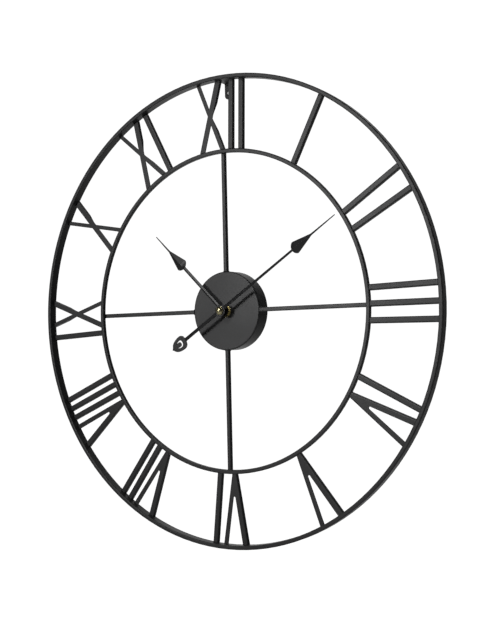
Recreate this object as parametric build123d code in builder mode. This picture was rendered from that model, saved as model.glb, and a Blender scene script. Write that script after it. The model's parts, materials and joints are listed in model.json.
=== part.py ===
from build123d import *
import os
from math import cos, radians, sin

# Skeleton wall clock: two steel rings, twelve folded Roman numerals, four spokes and
# a pressed hub that holds a quartz movement with two hands.
#
# Frame: the origin is the hanging hole in the bracket, on the wall plane y = 0.
# +Z is up, the dial faces -Y, and every depth is a height in front of the wall.
# Sketches lie on face(height), whose local x is +X, local y is +Z and whose origin
# is on the hand axis, HANG_DROP below the hanging hole.

# --- driving dimensions, mm ---
HANG_DROP = 284.0            # hanging hole down to the hand axis
RUN_GAP = 0.05               # radial running clearance of a pivot or a pipe
WELD_GAP = 0.05              # stand-off of a cut end from a rolled ring

# rings and spokes
OUTER_RADIUS = 300.0
OUTER_WIDTH = 5.3
OUTER_DEPTH = 12.0
INNER_RADIUS = 206.6
INNER_WIDTH = 5.2
INNER_DEPTH = 5.5
BAR_EDGE = 1.1               # rolled edge radius of the bar stock
SPOKE_WIDTH = 5.4
SPOKE_DEPTH = 5.6

# hub pot
HUB_RADIUS = 50.4
HUB_DEPTH = 20.0
HUB_SHEET = 1.2
HUB_EDGE = 1.6
RING_BACK = HUB_DEPTH        # back of both rings, in the plane of the hub's front

# numerals, folded from sheet
NUMERAL_DEPTH = 4.8
NUMERAL_SHEET = 1.2
NUMERAL_FOLD = 1.7           # outer radius of a fold
BAND_IN = INNER_RADIUS + WELD_GAP
BAND_OUT = OUTER_RADIUS - OUTER_WIDTH - WELD_GAP
I_WIDTH = 7.6
V_FOOT = 7.0
V_TOP = 37.2
V_SLOT_TOP = 22.4
V_SLOT_FOOT = 3.2
V_SLOT_START = 29.4          # foot of the slot above the inner ring
V_SLOT_SHIFT = 0.4           # the slot leans to the thin stroke
X_THICK = 7.7
X_THIN = 5.8
X_SPAN_IN = 29.6
X_SPAN_OUT = 31.0
X_TAPER_WIDE = 20.0          # the folds fade out between these radii from the crossing
X_TAPER_NARROW = 6.0

# Strokes of each hour: kind, then the offset of the stroke's centre line from the
# hour's radius (clockwise is positive) at the inner ring and at the outer ring.
NUMERALS = {
    1: [("I", 4.0, 0.5)],
    2: [("I", -9.0, -13.5), ("I", 15.0, 17.0)],
    3: [("I", -20.0, -22.0), ("I", -1.0, -1.0), ("I", 18.5, 19.5)],
    4: [("I", -22.0, -28.0), ("V", 2.0, 2.5)],
    5: [("V", -2.0, -2.0)],
    6: [("V", -10.5, -11.0), ("I", 11.5, 20.5)],
    7: [("V", -9.0, -12.0), ("I", 6.5, 16.0), ("I", 19.5, 30.0)],
    8: [("V", -16.0, -22.5), ("I", -2.5, 7.5), ("I", 11.0, 21.0), ("I", 24.5, 34.5)],
    9: [("I", -23.0, -28.0), ("X", 3.0, 5.5)],
    10: [("X", 1.0, -0.5)],
    11: [("X", -3.0, -5.5), ("I", 23.5, 27.0)],
    12: [("X", -12.5, -18.0), ("I", 15.0, 17.5), ("I", 30.5, 33.0)],
}

# hanging bracket
TAB_WIDTH = 14.0
TAB_SHEET = 1.6
TAB_BELOW_HOLE = 8.3
LEG_TOP = 13.6               # top of the leg above the hole
TAB_BEND = 3.0
HANG_HOLE_RADIUS = 3.5

# hand axis stack, heights in front of the wall
CASE_FRONT = 17.8
CASE_WALL = 1.5
CASE_BACK = 3.8
COVER_BACK = 2.3
BUSH_RADIUS = 3.9
BUSH_COLLAR_RADIUS = 4.75
BUSH_TOP = 24.0
HUB_HOLE_RADIUS = 4.1
RUBBER_RADIUS = 10.0
WASHER_RADIUS = 7.8
WASHER_THICK = 0.5
NUT_FLATS = 12.0
NUT_THICK = 2.2
HOUR_PIPE_RADIUS = 2.5
HOUR_PIPE_BORE = 1.75
HOUR_PIPE_TOP = 27.2
MINUTE_PIPE_RADIUS = 1.7
MINUTE_PIPE_TOP = 34.6
HOUR_HAND_BACK = 26.2
MINUTE_HAND_BACK = 32.2
HAND_SHEET = 1.0
HAND_DISC_RADIUS = 7.5
HOUR_BUSH_RADIUS = 3.9
HOUR_BUSH_BACK = 24.4
MINUTE_BUSH_RADIUS = 3.2
MINUTE_BUSH_BACK = 30.0
CAP_RADIUS = 4.9
CAP_FLATS = 10.0
CAP_HEX_THICK = 1.6
CAP_TOP = 38.2

# hands, along each hand from the axis
MINUTE_ANGLE = 57.3          # clockwise from twelve
MINUTE_HEAD = (128.0, 134.5, 160.0)      # base, widest and end of the head
MINUTE_HEAD_HALF = 8.0
MINUTE_TIP = 199.0
MINUTE_SHAFT_HALF = (2.0, 1.35)
HOUR_ANGLE = -45.9
HOUR_HEAD = (83.0, 89.5, 116.0)
HOUR_HEAD_HALF = 8.2
HOUR_TIP = 146.0
HOUR_SHAFT_HALF = (2.2, 2.1)
NEEDLE_HALF = 1.1
TIP_HALF = 0.45
TAIL_LOOP = (65.5, 76.5, 91.0)           # neck, widest and point of the tail loop
TAIL_LOOP_HALF = 9.2
TAIL_SHAFT_HALF = 2.3
TAIL_HOLE = (71.8, 76.0, 84.0)
TAIL_HOLE_HALF = 4.6
TAIL_LEAF = (74.2, 78.6, 86.0)
TAIL_LEAF_HALF = 3.1

# movement case, a square box centred on the hand axis
CASE_SIDE = 56.0
CASE_SIDE_WALL = 1.3
CASE_CORNER = 3.0
BAY_WALL_LOW = -11.2         # wall between the battery bay and the wheels
BAY_WALL_HIGH = -10.2
BAY_FLOOR = 1.0

# battery contacts
STRIP = 0.3
STRIP_LOW = 5.5
STRIP_DEPTH = 5.0

# battery, size AA
CELL_RADIUS = 7.25
CELL_LENGTH = 49.2
CELL_NUB_RADIUS = 2.75
CELL_NUB = 1.3
CELL_LOW_END = -25.4
CELL_Z = -18.75
CELL_HEIGHT = 9.1

# wheels: centres on the face plane, measured from the hand axis
MOTION_MODULE = 0.4
THIRD_MODULE = 0.3
CENTRE_MODULE = 10.2 / 36
FIFTH_MODULE = 0.3
ROTOR_MODULE = 0.25
CANNON_TEETH = 10
MINUTE_WHEEL_TEETH = 30
MINUTE_PINION_TEETH = 8
HOUR_WHEEL_TEETH = 32
SETTING_TEETH = 12
SECONDS_PINION_TEETH = 8
THIRD_WHEEL_TEETH = 60
THIRD_PINION_TEETH = 8
CENTRE_WHEEL_TEETH = 64
FIFTH_PINION_TEETH = 10
SECONDS_WHEEL_TEETH = 50
ROTOR_PINION_TEETH = 10
FIFTH_WHEEL_TEETH = 60
PIVOT = 0.5                  # radius of a wheel's pivot
POST = 1.1                   # radius of a post that carries a pivot

# directions of the centre lines, degrees anticlockwise from +X as seen from the front
MINUTE_WHEEL_DIRECTION = 90.0
SETTING_DIRECTION = 45.0
THIRD_DIRECTION = 20.0
FIFTH_DIRECTION = 150.0
ROTOR_DIRECTION = 170.0

os.makedirs("parts", exist_ok=True)


def face(height):
    """Plane parallel to the wall, at a height in front of it, centred on the hand axis."""
    return Plane(origin=(0, -height, -HANG_DROP), x_dir=(1, 0, 0), z_dir=(0, -1, 0))


def clock_face(angle, height):
    """The same plane turned so that its local y points at a clockwise angle from twelve."""
    turn = radians(angle)
    return Plane(origin=(0, -height, -HANG_DROP), x_dir=(cos(turn), 0, -sin(turn)), z_dir=(0, -1, 0))


def save(piece, name):
    """Label a finished piece and write its file."""
    piece.part.label = name
    export_step(piece.part, f"parts/{name}.step")


def polar(distance, direction, start=(0.0, 0.0)):
    """Point at a distance and direction from a start point."""
    turn = radians(direction)
    return (start[0] + distance * cos(turn), start[1] + distance * sin(turn))


# --- rings ---
def rolled_ring(radius, width, depth):
    """Ring of rectangular bar, from the plane of the ring backs forwards."""
    with BuildPart() as ring:
        with BuildSketch(face(RING_BACK)):
            Circle(radius)
            Circle(radius - width, mode=Mode.SUBTRACT)
        extrude(amount=depth)
        fillet(ring.edges(), radius=BAR_EDGE)
    return ring


outer_ring = rolled_ring(OUTER_RADIUS, OUTER_WIDTH, OUTER_DEPTH)
save(outer_ring, "outer_ring")
inner_ring = rolled_ring(INNER_RADIUS, INNER_WIDTH, INNER_DEPTH)
save(inner_ring, "inner_ring")

# --- spokes, laid across the back of the inner ring and butted to the hub ---
for spoke_name, spoke_angle in (("top", 0), ("right", 90), ("bottom", 180), ("left", 270)):
    spoke_length = INNER_RADIUS - HUB_RADIUS
    with BuildPart() as spoke:
        with BuildSketch(clock_face(spoke_angle, HUB_DEPTH - SPOKE_DEPTH)):
            with Locations((0, HUB_RADIUS)):
                Rectangle(SPOKE_WIDTH, spoke_length, align=(Align.CENTER, Align.MIN))
        extrude(amount=SPOKE_DEPTH)
        long_edges = [edge for edge in spoke.edges() if edge.length > spoke_length / 2]
        fillet(long_edges, radius=BAR_EDGE)
    save(spoke, f"spoke_{spoke_name}")


# --- numerals ---
def stroke_points(offset_in, offset_out, half_in, half_out, stretch=0.0):
    """Four corners of a stroke between the rings, run past them by a stretch."""
    lean = (offset_out - offset_in) / (BAND_OUT - BAND_IN)
    flare = (half_out - half_in) / (BAND_OUT - BAND_IN)
    low = BAND_IN - stretch
    high = BAND_OUT + stretch
    low_mid = offset_in - lean * stretch
    high_mid = offset_out + lean * stretch
    low_half = half_in - flare * stretch
    high_half = half_out + flare * stretch
    return [
        (low_mid - low_half, low),
        (low_mid + low_half, low),
        (high_mid + high_half, high),
        (high_mid - high_half, high),
    ]


def add_channel(hour, offset_in, offset_out, half_in, half_out):
    """Add a face with both long edges folded back, open towards the wall."""
    back = clock_face(30 * hour, RING_BACK)
    with BuildSketch(back) as channel_outline:
        Polygon(*stroke_points(offset_in, offset_out, half_in, half_out, 3.0), align=None)
    extrude(channel_outline.sketch, amount=NUMERAL_DEPTH)
    with BuildSketch(back) as channel_hollow:
        inside = (half_in - NUMERAL_SHEET, half_out - NUMERAL_SHEET)
        Polygon(*stroke_points(offset_in, offset_out, *inside, 6.0), align=None)
    extrude(channel_hollow.sketch, amount=NUMERAL_DEPTH - NUMERAL_SHEET, mode=Mode.SUBTRACT)


def add_v_slot(hour, offset_in, offset_out):
    """Cut the slot that parts a V's two strokes, round at its foot."""
    rise = V_SLOT_START / (BAND_OUT - BAND_IN)
    foot_mid = offset_in + (offset_out - offset_in) * rise + V_SLOT_SHIFT
    foot = BAND_IN + V_SLOT_START
    foot_half = V_SLOT_FOOT / 2
    with BuildSketch(clock_face(30 * hour, RING_BACK)) as slot:
        Polygon(
            (foot_mid - foot_half, foot),
            (foot_mid + foot_half, foot),
            (offset_out + V_SLOT_SHIFT + V_SLOT_TOP / 2, BAND_OUT),
            (offset_out + V_SLOT_SHIFT - V_SLOT_TOP / 2, BAND_OUT),
            align=None,
        )
        with Locations((foot_mid, foot)):
            Circle(foot_half)
        with Locations((offset_out + V_SLOT_SHIFT, BAND_OUT)):
            Rectangle(V_SLOT_TOP, 6.0, align=(Align.CENTER, Align.MIN))
    extrude(slot.sketch, amount=NUMERAL_DEPTH, mode=Mode.SUBTRACT)


def crossing(line_a, line_b):
    """Point where two straight edges, each given by two points, cross."""
    (ax, ay), (bx, by) = line_a
    (cx, cy), (dx, dy) = line_b
    along = ((cx - ax) * (dy - cy) - (cy - ay) * (dx - cx)) / ((bx - ax) * (dy - cy) - (by - ay) * (dx - cx))
    return (ax + along * (bx - ax), ay + along * (by - ay))


def add_x(hour, offset_in, offset_out):
    """Add an X of two crossing strokes, folded back along its two side notches."""
    back = clock_face(30 * hour, RING_BACK)
    drop = NUMERAL_DEPTH - NUMERAL_SHEET
    ends_thick = (offset_in - X_SPAN_IN / 2, offset_out + X_SPAN_OUT / 2)
    ends_thin = (offset_in + X_SPAN_IN / 2, offset_out - X_SPAN_OUT / 2)
    thick = stroke_points(*ends_thick, X_THICK / 2, X_THICK / 2, 3.0)
    thin = stroke_points(*ends_thin, X_THIN / 2, X_THIN / 2, 3.0)
    with BuildSketch(back) as cross:
        Polygon(*thick, align=None)
        Polygon(*thin, align=None)
    extrude(cross.sketch, amount=NUMERAL_DEPTH)
    left = crossing((thick[0], thick[3]), (thin[0], thin[3]))
    right = crossing((thick[1], thick[2]), (thin[1], thin[2]))
    with BuildSketch(back) as hollow:
        Polygon(*stroke_points(*ends_thick, X_THICK / 2 + 0.5, X_THICK / 2 + 0.5, 6.0), align=None)
        Polygon(*stroke_points(*ends_thin, X_THIN / 2 + 0.5, X_THIN / 2 + 0.5, 6.0), align=None)
        for corner, end, inward in ((left, thick[0], 1), (left, thin[3], 1), (right, thin[1], -1), (right, thick[2], -1)):
            fold = inward * NUMERAL_SHEET
            Polygon(
                (corner[0] + fold, corner[1]),
                (end[0] + fold, end[1]),
                (end[0] - fold, end[1]),
                (corner[0] - fold, corner[1]),
                align=None,
                mode=Mode.SUBTRACT,
            )
    extrude(hollow.sketch, amount=drop, mode=Mode.SUBTRACT)
    middle = ((left[0] + right[0]) / 2, (left[1] + right[1]) / 2)
    taper_plane = Plane(origin=back.from_local_coords(Vector(*middle, 0)), x_dir=back.x_dir, z_dir=back.z_dir)
    with Locations(taper_plane.location):
        Cone(X_TAPER_WIDE, X_TAPER_NARROW, drop, align=(Align.CENTER, Align.CENTER, Align.MIN), mode=Mode.SUBTRACT)


for hour, strokes in NUMERALS.items():
    with BuildPart() as numeral:
        for kind, offset_in, offset_out in strokes:
            if kind == "I":
                add_channel(hour, offset_in, offset_out, I_WIDTH / 2, I_WIDTH / 2)
            elif kind == "V":
                add_channel(hour, offset_in, offset_out, V_FOOT / 2, V_TOP / 2)
                add_v_slot(hour, offset_in, offset_out)
            else:
                add_x(hour, offset_in, offset_out)
        with BuildSketch(face(RING_BACK - 1)) as band:
            Circle(BAND_OUT)
            Circle(BAND_IN, mode=Mode.SUBTRACT)
        extrude(amount=NUMERAL_DEPTH + 2, mode=Mode.INTERSECT)
        front_edges = numeral.edges().filter_by(GeomType.LINE).group_by(Axis.Y)[0]
        folds = [edge for edge in front_edges if edge.length > BAND_OUT - BAND_IN - 1]
        if folds:
            fillet(folds, radius=NUMERAL_FOLD)
    save(numeral, f"numeral_{hour}")

# --- hanging bracket: a strap bent to an angle, hung from the back of the outer ring ---
with BuildPart() as hanger:
    with BuildSketch(Plane.YZ) as strap:
        Polygon(
            (0, -TAB_BELOW_HOLE),
            (0, LEG_TOP),
            (-RING_BACK, LEG_TOP),
            (-RING_BACK, LEG_TOP - TAB_SHEET),
            (-TAB_SHEET, LEG_TOP - TAB_SHEET),
            (-TAB_SHEET, -TAB_BELOW_HOLE),
            align=None,
        )
        outer_corner = strap.vertices().sort_by_distance((0, LEG_TOP, 0))[0]
        fillet(outer_corner, radius=TAB_BEND)
        inner_corner = strap.vertices().sort_by_distance((-TAB_SHEET, LEG_TOP - TAB_SHEET, 0))[0]
        fillet(inner_corner, radius=TAB_BEND - TAB_SHEET)
    extrude(amount=TAB_WIDTH / 2, both=True)
    foot_edges = hanger.edges().filter_by(Axis.Y).group_by(Axis.Z)[0]
    fillet(foot_edges, radius=5.0)
    with BuildSketch(Plane.XZ) as hang_hole:
        Circle(HANG_HOLE_RADIUS)
    extrude(amount=TAB_SHEET, mode=Mode.SUBTRACT)
save(hanger, "hanger")

# --- hub pot, open towards the wall ---
with BuildPart() as hub_housing:
    with BuildSketch(face(0)):
        Circle(HUB_RADIUS)
    extrude(amount=HUB_DEPTH)
    fillet(hub_housing.faces().sort_by(Axis.Y)[0].edges(), radius=HUB_EDGE)
    with BuildSketch(face(0)):
        Circle(HUB_RADIUS - HUB_SHEET)
    extrude(amount=HUB_DEPTH - HUB_SHEET, mode=Mode.SUBTRACT)
    with BuildSketch(face(HUB_DEPTH - HUB_SHEET)):
        Circle(HUB_HOLE_RADIUS)
    extrude(amount=HUB_SHEET, mode=Mode.SUBTRACT)
save(hub_housing, "hub_housing")


# --- wheel train geometry ---
def tooth_polygon(teeth, module):
    """Corners of one tooth that points along +x, with root, pitch and tip widths."""
    pitch_radius = teeth * module / 2
    root = pitch_radius - 1.25 * module
    tip = pitch_radius + 0.8 * module
    pitch_half = 0.62 * module
    root_half = 0.78 * module
    tip_half = 0.26 * module
    return [
        (root - 0.3 * module, -root_half),
        (root, -root_half),
        (pitch_radius, -pitch_half),
        (tip, -tip_half),
        (tip, tip_half),
        (pitch_radius, pitch_half),
        (root, root_half),
        (root - 0.3 * module, root_half),
    ]


def add_gear(centre, height, thick, teeth, module, phase):
    """Add a toothed disc whose first tooth points at the phase, in degrees."""
    with BuildSketch(face(height)) as toothed:
        with Locations(centre):
            Circle(teeth * module / 2 - 1.25 * module)
            with PolarLocations(0, teeth, start_angle=phase):
                Polygon(*tooth_polygon(teeth, module), align=None)
    extrude(toothed.sketch, amount=thick)


def add_disc(centre, height, thick, radius, mode=Mode.ADD):
    """Add or cut a plain disc."""
    with BuildSketch(face(height)) as disc:
        with Locations(centre):
            Circle(radius)
    extrude(disc.sketch, amount=thick, mode=mode)


def meshed_phase(phase, teeth, mate_teeth, direction):
    """Phase of a mate whose gap takes the tooth nearest to the line of centres."""
    pitch = 360 / teeth
    past_line = (phase - direction) % pitch
    return direction + 180 - past_line * teeth / mate_teeth + 180 / mate_teeth


AXIS = (0.0, 0.0)
MOTION_DISTANCE = MOTION_MODULE * (CANNON_TEETH + MINUTE_WHEEL_TEETH) / 2
SETTING_DISTANCE = MOTION_MODULE * (MINUTE_WHEEL_TEETH + SETTING_TEETH) / 2
THIRD_DISTANCE = THIRD_MODULE * (SECONDS_PINION_TEETH + THIRD_WHEEL_TEETH) / 2
FIFTH_DISTANCE = FIFTH_MODULE * (SECONDS_WHEEL_TEETH + FIFTH_PINION_TEETH) / 2
ROTOR_DISTANCE = ROTOR_MODULE * (FIFTH_WHEEL_TEETH + ROTOR_PINION_TEETH) / 2
MINUTE_WHEEL_AT = polar(MOTION_DISTANCE, MINUTE_WHEEL_DIRECTION)
SETTING_AT = polar(SETTING_DISTANCE, SETTING_DIRECTION, MINUTE_WHEEL_AT)
THIRD_AT = polar(THIRD_DISTANCE, THIRD_DIRECTION)
FIFTH_AT = polar(FIFTH_DISTANCE, FIFTH_DIRECTION)
ROTOR_AT = polar(ROTOR_DISTANCE, ROTOR_DIRECTION, FIFTH_AT)

# layers of the train, heights in front of the wall
HOUR_LAYER = 14.6
MINUTE_LAYER = 12.8
CENTRE_LAYER = 10.95
PLATE_LAYER = 10.05
THIRD_LAYER = 8.7
SECONDS_LAYER = 6.9
FIFTH_LAYER = 5.0
WHEEL_THICK = 1.0
PLATE_THICK = 0.6
FRONT_INSIDE = CASE_FRONT - CASE_WALL

# --- hour wheel with its pipe ---
hour_phase = meshed_phase(MINUTE_WHEEL_DIRECTION + 180, MINUTE_PINION_TEETH, HOUR_WHEEL_TEETH,
                          MINUTE_WHEEL_DIRECTION + 180)
with BuildPart() as hour_wheel:
    add_gear(AXIS, HOUR_LAYER, 1.2, HOUR_WHEEL_TEETH, MOTION_MODULE, hour_phase)
    add_disc(AXIS, HOUR_LAYER, HOUR_PIPE_TOP - HOUR_LAYER, HOUR_PIPE_RADIUS)
    add_disc(AXIS, HOUR_LAYER, HOUR_PIPE_TOP - HOUR_LAYER, HOUR_PIPE_BORE, Mode.SUBTRACT)
save(hour_wheel, "hour_wheel")

# --- minute pipe with the cannon pinion, blind from the back ---
with BuildPart() as minute_pipe:
    add_gear(AXIS, MINUTE_LAYER - 0.2, 1.5, CANNON_TEETH, MOTION_MODULE, MINUTE_WHEEL_DIRECTION)
    add_disc(AXIS, MINUTE_LAYER + 1.3, MINUTE_PIPE_TOP - MINUTE_LAYER - 1.3, MINUTE_PIPE_RADIUS)
    add_disc(AXIS, CENTRE_LAYER - 0.15, MINUTE_LAYER - CENTRE_LAYER, 1.2)
    add_disc(AXIS, CENTRE_LAYER - 0.15, 3.0, PIVOT + RUN_GAP, Mode.SUBTRACT)
save(minute_pipe, "minute_pipe")

# --- minute wheel of the motion work, with its pinion ---
minute_wheel_phase = meshed_phase(MINUTE_WHEEL_DIRECTION, CANNON_TEETH, MINUTE_WHEEL_TEETH,
                                  MINUTE_WHEEL_DIRECTION)
with BuildPart() as minute_wheel:
    add_gear(MINUTE_WHEEL_AT, MINUTE_LAYER, 1.2, MINUTE_WHEEL_TEETH, MOTION_MODULE, minute_wheel_phase)
    add_gear(MINUTE_WHEEL_AT, MINUTE_LAYER + 1.2, 1.9, MINUTE_PINION_TEETH, MOTION_MODULE,
             MINUTE_WHEEL_DIRECTION + 180)
    add_disc(MINUTE_WHEEL_AT, MINUTE_LAYER, 3.1, PIVOT + RUN_GAP, Mode.SUBTRACT)
save(minute_wheel, "minute_wheel")

# --- setting pinion and stem, and the knob pressed on it ---
setting_phase = meshed_phase(minute_wheel_phase, MINUTE_WHEEL_TEETH, SETTING_TEETH, SETTING_DIRECTION)
STEM_RADIUS = 1.0
KNOB_BACK = 0.7
KNOB_THICK = 1.5
with BuildPart() as setting_pinion:
    add_gear(SETTING_AT, MINUTE_LAYER - 0.1, 1.4, SETTING_TEETH, MOTION_MODULE, setting_phase)
    add_disc(SETTING_AT, KNOB_BACK, MINUTE_LAYER - KNOB_BACK, STEM_RADIUS)
    add_disc(SETTING_AT, MINUTE_LAYER, FRONT_INSIDE + 0.7 - MINUTE_LAYER, PIVOT)
save(setting_pinion, "setting_pinion")

KNOB_RADIUS = 6.0
KNOB_RIDGES = 24
with BuildPart() as setting_knob:
    add_disc(SETTING_AT, KNOB_BACK, KNOB_THICK, KNOB_RADIUS)
    with BuildSketch(face(KNOB_BACK)):
        with Locations(SETTING_AT):
            with PolarLocations(KNOB_RADIUS + 0.25, KNOB_RIDGES):
                Circle(0.5)
    extrude(amount=KNOB_THICK, mode=Mode.SUBTRACT)
    add_disc(SETTING_AT, KNOB_BACK, KNOB_THICK, STEM_RADIUS, Mode.SUBTRACT)
save(setting_knob, "setting_knob")

# --- centre wheel, a slipping fit on the minute pipe ---
with BuildPart() as centre_wheel:
    add_gear(AXIS, CENTRE_LAYER, WHEEL_THICK, CENTRE_WHEEL_TEETH, CENTRE_MODULE, THIRD_DIRECTION)
    add_disc(AXIS, CENTRE_LAYER, WHEEL_THICK, 1.2 + RUN_GAP, Mode.SUBTRACT)
save(centre_wheel, "centre_wheel")

# --- third wheel and pinion ---
third_pinion_phase = meshed_phase(THIRD_DIRECTION, CENTRE_WHEEL_TEETH, THIRD_PINION_TEETH, THIRD_DIRECTION)
third_wheel_phase = meshed_phase(THIRD_DIRECTION, SECONDS_PINION_TEETH, THIRD_WHEEL_TEETH, THIRD_DIRECTION)
with BuildPart() as third_wheel:
    add_gear(THIRD_AT, THIRD_LAYER, WHEEL_THICK, THIRD_WHEEL_TEETH, THIRD_MODULE, third_wheel_phase)
    add_gear(THIRD_AT, THIRD_LAYER + WHEEL_THICK, 2.7, THIRD_PINION_TEETH, CENTRE_MODULE, third_pinion_phase)
    add_disc(THIRD_AT, 7.2, 6.3, PIVOT)
save(third_wheel, "third_wheel")

# --- seconds wheel and pinion ---
seconds_wheel_phase = FIFTH_DIRECTION
with BuildPart() as seconds_wheel:
    add_gear(AXIS, SECONDS_LAYER, WHEEL_THICK, SECONDS_WHEEL_TEETH, FIFTH_MODULE, seconds_wheel_phase)
    add_gear(AXIS, SECONDS_LAYER + WHEEL_THICK, 2.0, SECONDS_PINION_TEETH, THIRD_MODULE, THIRD_DIRECTION)
    add_disc(AXIS, 4.6, 8.2, PIVOT)
save(seconds_wheel, "seconds_wheel")

# --- fifth wheel and pinion, between the rotor and the seconds wheel ---
fifth_pinion_phase = meshed_phase(seconds_wheel_phase, SECONDS_WHEEL_TEETH, FIFTH_PINION_TEETH, FIFTH_DIRECTION)
fifth_wheel_phase = ROTOR_DIRECTION
with BuildPart() as fifth_wheel:
    add_gear(FIFTH_AT, FIFTH_LAYER, WHEEL_THICK, FIFTH_WHEEL_TEETH, ROTOR_MODULE, fifth_wheel_phase)
    add_gear(FIFTH_AT, FIFTH_LAYER + WHEEL_THICK, 2.1, FIFTH_PINION_TEETH, FIFTH_MODULE, fifth_pinion_phase)
    add_disc(FIFTH_AT, 3.0, 7.5, PIVOT)
save(fifth_wheel, "fifth_wheel")

# --- rotor: pinion with its pivots, and the magnet pressed on it ---
rotor_phase = meshed_phase(fifth_wheel_phase, FIFTH_WHEEL_TEETH, ROTOR_PINION_TEETH, ROTOR_DIRECTION)
MAGNET_RADIUS = 3.5
MAGNET_BACK = 7.4
MAGNET_THICK = 2.2
with BuildPart() as rotor_pinion:
    add_gear(ROTOR_AT, FIFTH_LAYER - 0.2, 1.4, ROTOR_PINION_TEETH, ROTOR_MODULE, rotor_phase)
    add_disc(ROTOR_AT, 3.0, 7.5, PIVOT)
save(rotor_pinion, "rotor_pinion")
with BuildPart() as rotor_magnet:
    add_disc(ROTOR_AT, MAGNET_BACK, MAGNET_THICK, MAGNET_RADIUS)
    add_disc(ROTOR_AT, MAGNET_BACK, MAGNET_THICK, PIVOT, Mode.SUBTRACT)
save(rotor_magnet, "rotor_magnet")

# --- stator: a lamination round the rotor with two arms up to the coil core ---
STATOR_BACK = 8.2
STATOR_THICK = 1.0
COIL_Z = 20.5
COIL_LOW = -20.5
COIL_HIGH = -7.5
CORE_HALF = 1.5
ARM_WIDTH = 3.2
with BuildPart() as stator:
    with BuildSketch(face(STATOR_BACK)) as lamination:
        with Locations(ROTOR_AT):
            Rectangle(12.0, 11.0)
        with Locations((COIL_LOW - ARM_WIDTH / 2 - 0.2, (COIL_Z + ROTOR_AT[1]) / 2)):
            Rectangle(ARM_WIDTH, COIL_Z - ROTOR_AT[1] + 3.6)
        Polygon(
            (-14.0, 7.6),
            (-10.41, 7.6),
            (COIL_HIGH + ARM_WIDTH + 0.2, 14.0),
            (COIL_HIGH + ARM_WIDTH + 0.2, 18.9),
            (COIL_HIGH + 0.2, 18.9),
            (COIL_HIGH + 0.2, 15.0),
            align=None,
        )
        with Locations((COIL_HIGH + ARM_WIDTH / 2 + 0.2, COIL_Z)):
            Rectangle(ARM_WIDTH, 3.6)
        with Locations(((COIL_LOW + COIL_HIGH) / 2, COIL_Z)):
            Rectangle(COIL_HIGH - COIL_LOW + 1, 2 * CORE_HALF)
        with Locations(ROTOR_AT):
            Circle(MAGNET_RADIUS + 0.4, mode=Mode.SUBTRACT)
            with PolarLocations(MAGNET_RADIUS + 0.5, 2, start_angle=45):
                Circle(0.5, mode=Mode.SUBTRACT)
    extrude(amount=STATOR_THICK)
save(stator, "stator")

# --- coil: bobbin with two cheeks and the winding between them ---
COIL_HEIGHT = STATOR_BACK + STATOR_THICK / 2
CHEEK_RADIUS = 4.3
WINDING_RADIUS = 3.9
SLEEVE_RADIUS = 2.2
CHEEK_THICK = 0.8
SLEEVE_SLOT = (2 * CORE_HALF + 0.1, STATOR_THICK + 0.1)


def coil_plane(x):
    """Plane across the coil, at a place along its length."""
    return Plane(origin=(x, -COIL_HEIGHT, -HANG_DROP + COIL_Z), x_dir=(0, 0, 1), z_dir=(1, 0, 0))


with BuildPart() as coil_bobbin:
    for cheek in (COIL_LOW, COIL_HIGH - CHEEK_THICK):
        with BuildSketch(coil_plane(cheek)):
            Circle(CHEEK_RADIUS)
        extrude(amount=CHEEK_THICK)
    with BuildSketch(coil_plane(COIL_LOW)):
        Circle(SLEEVE_RADIUS)
    extrude(amount=COIL_HIGH - COIL_LOW)
    with BuildSketch(coil_plane(COIL_LOW)):
        Rectangle(*SLEEVE_SLOT)
    extrude(amount=COIL_HIGH - COIL_LOW, mode=Mode.SUBTRACT)
save(coil_bobbin, "coil_bobbin")
with BuildPart() as coil_winding:
    with BuildSketch(coil_plane(COIL_LOW + CHEEK_THICK)):
        Circle(WINDING_RADIUS)
        Circle(SLEEVE_RADIUS + WELD_GAP, mode=Mode.SUBTRACT)
    extrude(amount=COIL_HIGH - COIL_LOW - 2 * CHEEK_THICK)
save(coil_winding, "coil_winding")

# --- mid plate, which carries the inner pivots ---
with BuildPart() as mid_plate:
    with BuildSketch(face(PLATE_LAYER)):
        with Locations((-0.5, 1.1)):
            RectangleRounded(42.0, 21.6, 2.0)
        Circle(PIVOT + 4 * RUN_GAP, mode=Mode.SUBTRACT)
        with Locations(FIFTH_AT, ROTOR_AT):
            Circle(PIVOT + RUN_GAP, mode=Mode.SUBTRACT)
        with Locations(THIRD_AT):
            Circle(1.9, mode=Mode.SUBTRACT)
    extrude(amount=PLATE_THICK)
save(mid_plate, "mid_plate")

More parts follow.
